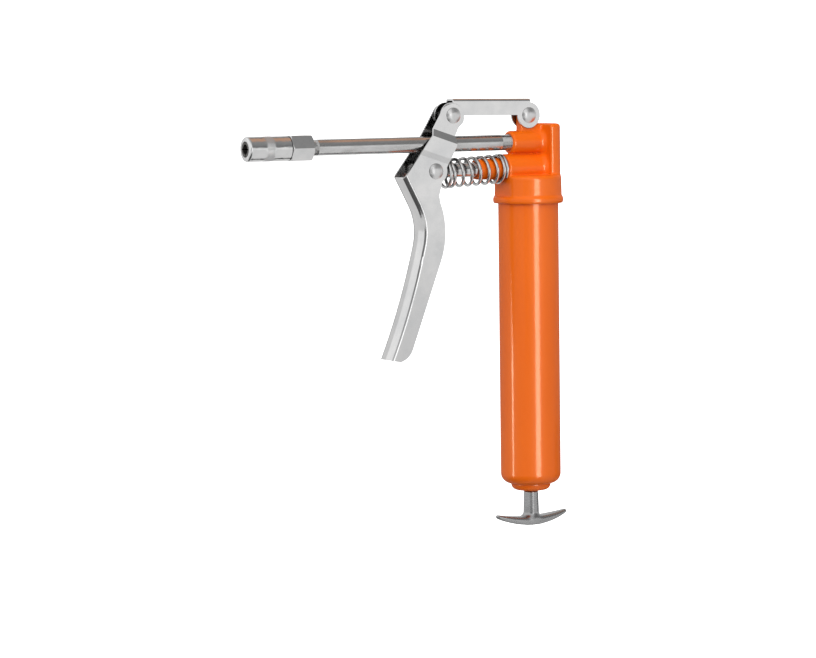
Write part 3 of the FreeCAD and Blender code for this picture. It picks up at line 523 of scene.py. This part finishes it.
def surface_from_field(name, field, low, high, cell):
    """Mesh where a distance field is zero: one point per crossed cell, slid onto the surface."""
    axes = [np.arange(a, b + cell, cell, dtype=np.float32) for a, b in zip(low, high)]
    value = field(*np.meshgrid(*axes, indexing="ij"))
    inside = value < 0
    total = np.zeros(tuple(n - 1 for n in value.shape) + (3,), np.float32)
    hits = np.zeros(total.shape[:3], np.float32)
    shape = total.shape[:3]
    for axis in range(3):
        others = [other for other in range(3) if other != axis]
        for shift in ((0, 0), (0, 1), (1, 0), (1, 1)):
            first = [slice(0, n) for n in shape]
            for other, step in zip(others, shift):
                first[other] = slice(step, step + shape[other])
            second = list(first)
            second[axis] = slice(1, shape[axis] + 1)
            a, b = value[tuple(first)], value[tuple(second)]
            crossed = (a < 0) != (b < 0)
            share = np.where(crossed, a / np.where(crossed, a - b, 1), 0)
            for other, step in zip(others, shift):
                total[..., other] += crossed * step
            total[..., axis] += share
            hits += crossed
    used = hits > 0
    index = np.full(shape, -1)
    index[used] = np.arange(used.sum())
    corner = np.stack(np.nonzero(used), axis=-1)
    points = np.array(low) + (corner + total[used] / hits[used][:, None]) * cell
    faces = []
    for axis in range(3):
        u, v = [(1, 2), (2, 0), (0, 1)][axis]
        region = [slice(1, n) for n in shape]
        region[axis] = slice(0, shape[axis])
        ahead = list(region)
        ahead[axis] = slice(1, shape[axis] + 1)
        now, then = inside[tuple(region)], inside[tuple(ahead)]
        spot = np.stack(np.nonzero(now != then), axis=-1)
        outward = now[tuple(spot.T)]
        base = spot + np.array([0 if a == axis else 1 for a in range(3)])
        step_u, step_v = np.eye(3, dtype=int)[u], np.eye(3, dtype=int)[v]
        loop = [base - step_u - step_v, base - step_v, base, base - step_u]
        quad = np.stack([index[tuple(p.T)] for p in loop], axis=-1)
        quad[~outward] = quad[~outward][:, ::-1]
        faces.append(quad)
    faces = np.concatenate(faces)
    for _ in range(3):
        x, y, z = points.T
        here = field(x, y, z)
        step = 0.02
        normal = np.stack([field(x + step, y, z) - field(x - step, y, z),
                           field(x, y + step, z) - field(x, y - step, z),
                           field(x, y, z + step) - field(x, y, z - step)], axis=-1) / (2 * step)
        size = np.maximum(np.linalg.norm(normal, axis=1, keepdims=True), 0.2)
        points = points - normal / size ** 2 * np.clip(here, -0.3, 0.3)[:, None]
    mesh = bpy.data.meshes.new(name)
    mesh.from_pydata(points * MM, [], faces)
    mesh.update()
    mesh.shade_smooth()
    mesh.transform(Matrix.Translation((BARREL_X, 0, 0)))
    return mesh


def head_field(x, y, z):
    """Head casting, millimetres from the barrel axis and the pipe axis."""
    pump_z = PUMP_Z / MM
    pivot_x = (HEAD_PIVOT.x - BARREL_X) / MM
    pivot_z = HEAD_PIVOT.z / MM
    cup_top, cup_radius, cup_flare, seat_x = -21.8, 22.0, 0.021, -19.9
    rim_low, bead_middle, bead_radius, bead_half = -40.1, -38.0, 23.3, 2.1
    block_radius, block_half, block_front, block_top, block_low = 21.5, 14.7, 9.3, 12.1, -25.2
    eye_radius, lug_half = 5.5, 3.25
    rho = np.hypot(x, y)
    line = np.hypot(y, z)
    pump_line = np.hypot(y, z - pump_z)
    pivot_line = np.hypot(x - pivot_x, z - pivot_z)

    cup = keep_both(rho - (cup_radius + cup_flare * (cup_top - z)), z - cup_top, 2.8)
    cup = keep_both(cup, seat_x - x, 1.4)
    cup = keep_both(cup, rim_low - z, 0.6)
    bead = keep_both(rho - bead_radius, np.abs(z - bead_middle) - bead_half, 1.8)

    block = keep_both(rho - block_radius, np.abs(y) - block_half, 3.0)
    block = keep_both(block, block_front - x, 1.6)
    facet = 0.276 * (10.9 - x) + 0.961 * (np.abs(y) - block_half)
    block = keep_both(block, facet, 0.3)
    block = keep_both(block, z - block_top, 2.8)
    block = keep_both(block, block_low - z, 0.5)

    outlet = keep_both(line - 7.6, np.abs(x + 1.6) - 13.6, 2.2)
    pump = keep_both(pump_line - 9.6, np.abs(x + 3.95) - 15.95, 1.6)
    taper = 6.65 + (x + 41.0) / 21.0 * 0.55
    guide = keep_both(pump_line - taper, np.abs(x + 29.5) - 11.5, 1.4)

    eye = pivot_line - eye_radius
    post = np.maximum(np.abs(x - pivot_x) - eye_radius, np.abs(z - pivot_z / 2) - pivot_z / 2)
    shelf = np.maximum(np.abs(x - 2.4) - 9.5, np.abs(z - 4.9) - 6.9)
    lug = keep_both(np.minimum(np.minimum(eye, post), shelf), np.abs(y) - lug_half, 1.0)

    solid = blend_in(block, blend_in(outlet, pump, 1.0), 4.2)
    solid = blend_in(solid, blend_in(cup, bead, 1.2), 1.2)
    solid = blend_in(solid, lug, 1.2)
    solid = blend_in(solid, guide, 0.6)

    barrel_mouth = np.maximum(rho - 20.1, z + 39.0)
    barrel_cavity = np.maximum(rho - 19.0, z + 23.8)
    pump_bore = np.maximum(pump_line - 4.85, x - 11.0)
    pipe_socket = np.maximum(line - 5.3, x + 5.2)
    plug_hole = np.maximum(np.hypot(x - 14.5, y) - 4.05, 4.8 - z)
    rivet_hole = pivot_line - 3.05
    solid = cut_out(solid, np.minimum(barrel_mouth, barrel_cavity), 0.5)
    solid = cut_out(solid, pump_bore, 0.7)
    solid = cut_out(solid, pipe_socket, 0.9)
    solid = cut_out(solid, plug_hole, 0.6)
    return cut_out(solid, rivet_hole, 0.4)


def handle_field(x, y, z):
    """T-handle: a boat-shaped bar, flatter above than below, on a tapering neck."""
    low, belly_radius, bar_half = -255.2, 66.3, 27.9
    bar_height, tip_rise = 5.5, 3.0
    neck_radius, neck_flare = 4.85, 0.5
    rho = np.hypot(x, y)
    reach = np.abs(x) / 28.0
    under = low + belly_radius - np.sqrt(np.maximum(belly_radius ** 2 - x ** 2, 1.0))
    over = low + bar_height + tip_rise * reach ** 2
    bar = keep_both(under - z, z - over, 1.6) * 0.92
    half_width = 6.0 - 3.6 * np.clip(reach, 0, 1.2) ** 2
    bar = keep_both(bar, np.abs(y) - half_width, 2.6)
    bar = keep_both(bar, np.abs(x) - bar_half, 2.4)
    neck = rho - (neck_radius + neck_flare * np.clip((-233.0 - z) / 18.0, 0, 1.1))
    neck = keep_both(neck, np.abs(z + 242.8) - 10.3, 1.2)
    rod_hole = np.maximum(rho - 3.02, -244.5 - z)
    return cut_out(blend_in(bar, neck, 3.0), rod_hole, 0.4)


# ---------------------------------------------------------------- pieces

def make_head(paint):
    low, high = (-42.2, -24.0, -41.4), (23.5, 24.0, 24.6)
    mesh = surface_from_field("head_casting_skin", head_field, low, high, 0.42)
    new_piece("head_casting_skin", mesh, "head", paint, ["head_casting"])


def make_handle(metal):
    low, high = (-29.0, -7.0, -256.4), (29.0, 7.0, -231.6)
    mesh = surface_from_field("t_handle_skin", handle_field, low, high, 0.3)
    new_piece("t_handle_skin", mesh, "rod", metal, ["t_handle"])


def make_sleeve(plating):
    """Coupler sleeve with a raised diamond knurl between two shallow lead-ins."""
    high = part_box("coupler_sleeve")[1]
    length, outer = high.x / MM, high.z / MM
    band = (11.6, 18.0)
    fine = 0.17

    def knurl(along, angle):
        pitch = 32
        slope = 4.0
        first = np.abs(((angle * pitch + along * slope) / (2 * np.pi)) % 1 - 0.5) * 2
        second = np.abs(((angle * pitch - along * slope) / (2 * np.pi)) % 1 - 0.5) * 2
        teeth = np.minimum(first, second)
        inside = np.clip((along - band[0]) / 0.5, 0, 1) * np.clip((band[1] - along) / 0.5, 0, 1)
        return np.where(along > 0, 0.26 * (teeth - 0.35) * inside, 0)

    outline = [(1.2, 5.25), (0.0, 5.05)]
    outline += arc((1.3, outer - 1.3), 1.3, 180, 90, 7)
    outline += [(x, outer) for x in np.arange(2.0, band[0], 2.0)]
    outline += [(x, outer) for x in np.arange(band[0], band[1] + fine, fine)]
    outline += [(x, outer) for x in np.arange(band[1] + 1.0, length - 0.6, 2.0)]
    outline += [(length - 0.45, outer), (length, outer - 0.45)]
    outline += [(length, 6.9), (24.0, 6.9), (24.0, 6.6), (4.5, 6.6)]

    mesh = turned_mesh("coupler_sleeve_knurled", outline[::-1], "x", (0, 0, 0), 360, knurl, 35.0)
    new_piece("coupler_sleeve_knurled", mesh, "head", plating, ["coupler_sleeve"])


def make_spring(node, body, wire, line, coil, along="x", sag=0.0):
    """One coil spring in place of its CAD node.

    line is where its axis runs: a height for a spring along X, an X place for one along Z.
    coil is (coil radius, wire radius, turns, closed turns, sides, steps).
    """
    low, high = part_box(node)
    name = node + "_wire"
    if along == "x":
        axis, first, last = (1, 0, 0), (low.x, 0, line), (high.x, 0, line)
        length = (high.x - low.x) / MM
    else:
        axis, first, last = (0, 0, 1), (line, 0, low.z), (line, 0, high.z)
        length = (high.z - low.z) / MM
    mesh = coil_mesh(name, first, along, length, *coil, sag)
    spring = new_piece(name, mesh, body, wire, [node])
    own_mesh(spring)


def make_springs(wire):
    """The four coil springs.

    The outlet ball sits a little inside its spring, which closes 0.25 mm more than the ball lifts.
    """
    make_spring("return_spring", "head", wire, PUMP_Z,
                (8.85, 1.1, 8.6, 1.4, 18, 60), sag=2.2)
    make_spring("follower_spring", "barrel", wire, BARREL_X,
                (14.0, 0.9, 13, 1.0, 12, 48), along="z")
    make_spring("outlet_check_spring", "head", wire, 0,
                (2.4, 0.3, 5, 0.8, 8, 36))
    make_spring("coupler_spring", "head", wire, 0,
                (5.5, 0.5, 6, 1.0, 10, 40))


def dress_nodes(finishes):
    """Give every CAD node that stays its material."""
    for node, material in finishes.items():
        data = NODES[node].data
        data.materials.clear()
        data.materials.append(material)


# ---------------------------------------------------------------- stage

# room below the gun for the barrel and the follower rod to be drawn out, metres
FLOOR_DROP = 0.22


def make_stage():
    """Pale floor sweeping up into a backdrop that faces the camera."""
    floor_z = cad_box[0][2] - FLOOR_DROP
    depth, height, bend, width = 3.2, 3.0, 0.9, 5.0
    profile = [(-3.4, 0.0), (depth - bend, 0.0)]
    profile += [(depth - bend + bend * math.sin(a), bend - bend * math.cos(a))
                for a in np.radians(np.arange(6, 91, 6))]
    profile += [(depth, height)]
    angle = math.radians(CAMERA["azimuth"])
    ahead = Vector((math.sin(angle), math.cos(angle), 0))
    aside = Vector((math.cos(angle), -math.sin(angle), 0))
    points, faces = [], []
    for distance, up in profile:
        for side in (-width, width):
            spot = Vector((BARREL_X, 0, floor_z)) + ahead * distance + aside * side
            points.append((spot.x, spot.y, spot.z + up))
    for row in range(len(profile) - 1):
        faces.append((2 * row, 2 * row + 1, 2 * row + 3, 2 * row + 2))
    sweep = bpy.data.objects.new("floor_sweep", mesh_of("floor_sweep", points, faces, 60.0))
    bpy.context.collection.objects.link(sweep)
    sweep.data.materials.append(stage_paper())


CAMERA = {
    "azimuth": 29.70,
    "elevation": 4.92,
    "distance": 1.967,
    "target": Vector((BARREL_X - 0.0930, 0, -0.1193)),
    "roll": 0.747,
    "lens": 133.5,
}


def make_camera():
    angle, tilt = math.radians(CAMERA["azimuth"]), math.radians(CAMERA["elevation"])
    back = Vector((-math.sin(angle) * math.cos(tilt), -math.cos(angle) * math.cos(tilt), math.sin(tilt)))
    camera = bpy.data.objects.new("camera", bpy.data.cameras.new("camera"))
    bpy.context.collection.objects.link(camera)
    camera.data.lens = CAMERA["lens"]
    camera.data.sensor_width = 36.0
    camera.data.clip_end = 50.0
    camera.location = CAMERA["target"] + back * CAMERA["distance"]
    aim = (-back).to_track_quat("-Z", "Y")
    aim.rotate(Quaternion(-back, math.radians(CAMERA["roll"])))
    camera.rotation_euler = aim.to_euler()
    bpy.context.scene.camera = camera


def lamp(name, azimuth, elevation, distance, size, power):
    """Area lamp aimed at the gun; azimuth in degrees from the camera's side, positive to its left."""
    angle, tilt = math.radians(CAMERA["azimuth"] + azimuth), math.radians(elevation)
    middle = Vector((BARREL_X, 0, -0.12))
    out = Vector((-math.sin(angle) * math.cos(tilt), -math.cos(angle) * math.cos(tilt), math.sin(tilt)))
    data = bpy.data.lights.new(name, "AREA")
    data.shape = "RECTANGLE"
    data.size, data.size_y = size
    data.energy = power
    light = bpy.data.objects.new(name, data)
    light.location = middle + out * distance
    light.rotation_euler = (-out).to_track_quat("-Z", "Y").to_euler()
    bpy.context.collection.objects.link(light)
    return light


def streak_lamp(*values, receivers=None):
    """A tall box seen only as a reflection; with receivers it is warm and only they mirror it."""
    light = lamp(*values)
    light.visible_diffuse = False
    light.data.color = (1.0, 0.84, 0.62) if receivers else (1.0, 1.0, 1.0)
    if receivers:
        light.light_linking.receiver_collection = receivers


def fill_lamp(*values):
    """General light that no shiny surface mirrors."""
    lamp(*values).visible_glossy = False


def make_room():
    """Plain white to the camera; mirrored, it has pale walls, a dark ceiling and a warm strip behind."""
    world = bpy.data.worlds.new("studio")
    world.use_nodes = True
    bpy.context.scene.world = world
    room = NodeKit(world.node_tree, "Generated")
    angle = math.radians(CAMERA["azimuth"])
    split = room.add("ShaderNodeSeparateXYZ")
    room.feed(split.inputs[0], room.place)
    front = room.add("ShaderNodeVectorMath", operation="DOT_PRODUCT")
    room.feed(front.inputs[0], room.place)
    front.inputs[1].default_value = (-math.sin(angle), -math.cos(angle), 0.0)
    front = front.outputs["Value"]
    brown = (0.56, 0.33, 0.22, 1)
    ceiling = room.ramp(split.outputs["Z"], [
        (0.00, grey(0.86)), (0.10, grey(0.80)), (0.28, grey(0.16)), (0.60, grey(0.25)), (1.00, grey(0.30)),
    ])
    behind = room.ramp(split.outputs["Z"], [
        (0.00, grey(0.80)), (0.30, grey(0.35)), (0.78, grey(0.22)), (0.82, brown), (0.90, brown),
        (0.94, grey(0.35)),
    ])
    left = room.ramp(split.outputs["Z"], [(0.0, grey(0.90)), (0.55, grey(0.95)), (1.0, grey(0.50))])
    left = room.mix(room.spread(front, -0.95, -0.45), grey(0.45), left)
    right = room.mix(room.spread(front, -0.15, 0.10), behind, ceiling)
    colour = room.mix(room.spread(split.outputs["X"], 0.05, 0.30), left, right)
    photographer = room.spread(front, 0.925, 0.965)
    colour = room.mix(room.math("MULTIPLY", photographer, 0.85), colour, grey(0.05))
    seen = room.add("ShaderNodeLightPath").outputs["Is Camera Ray"]
    backdrop = world.node_tree.nodes["Background"]
    room.feed(backdrop.inputs["Color"], room.mix(seen, colour, grey(1.0)))
    backdrop.inputs["Strength"].default_value = 1.0


def make_lights():
    """Tall boxes draw the streaks on the enamel and brighten the plating; unmirrored fills do the rest."""
    enamelled = bpy.data.collections.new("enamelled")
    for name in ("barrel", "head_casting_skin"):
        enamelled.objects.link(bpy.data.objects[name])
    streak_lamp("right_streak", -28, -3, 0.75, (0.24, 0.75), 10.0, receivers=enamelled)
    streak_lamp("left_streak", 71, -14, 0.45, (0.045, 0.26), 0.9, receivers=enamelled)
    streak_lamp("plating_box", -30, 0, 1.5, (0.26, 1.2), 1.1)
    fill_lamp("front_fill", 0, 25, 1.8, (1.2, 1.2), 15.4)
    fill_lamp("top_fill", -20, 70, 1.6, (1.2, 1.2), 6.4)
    bpy.context.scene.view_settings.view_transform = "Standard"


# ---------------------------------------------------------------- build

paint = orange_paint()
chrome = plated("chrome_plate", 0.80, 0.10, 55.0, (1.0, 1.0, 0.06))
nickel = plated("nickel_plate", 0.84, 0.10, 420.0, (1.0, 0.08, 0.08), 0.30)
wire_steel = plated("spring_wire", 0.80, 0.14, 300.0)
rivet_plate = plated("rivet_plate", 0.80, 0.24, 260.0, relief=0.10)
ground_steel = turned_steel("ground_steel", 0.88, 0.16, 0)
rod_steel = turned_steel("rod_steel", 0.50, 0.25, 2)
pipe_metal = drawn_pipe()
grey_cast = cast_metal()
dark = dark_steel()
rubber = black_rubber()

dress_nodes({
    "barrel": paint,
    "extension_pipe": pipe_metal,
    "coupler_jaws": dark, "coupler_seal": rubber, "coupler_seal_holder": dark,
    "link_head_rivet": rivet_plate, "link_lever_rivet": rivet_plate, "plunger_rivet": rivet_plate,
    "plunger": ground_steel, "plunger_seal": rubber, "barrel_gasket": rubber, "passage_plug": dark,
    "outlet_check_ball": ground_steel,
    "follower_rod": rod_steel, "follower_nut": dark, "follower_washer": dark, "follower_plate": dark,
    "follower_piston": rubber,
})
make_head(paint)
make_handle(grey_cast)
make_sleeve(nickel)
make_springs(wire_steel)
softened("lever", "lever", chrome, 0.35 * MM, GRIP_CROWN)
softened("link", "link", chrome, 0.35 * MM)
softened("coupler_adapter", "head", nickel, 0.25 * MM)
make_stage()
make_camera()
make_room()
make_lights()
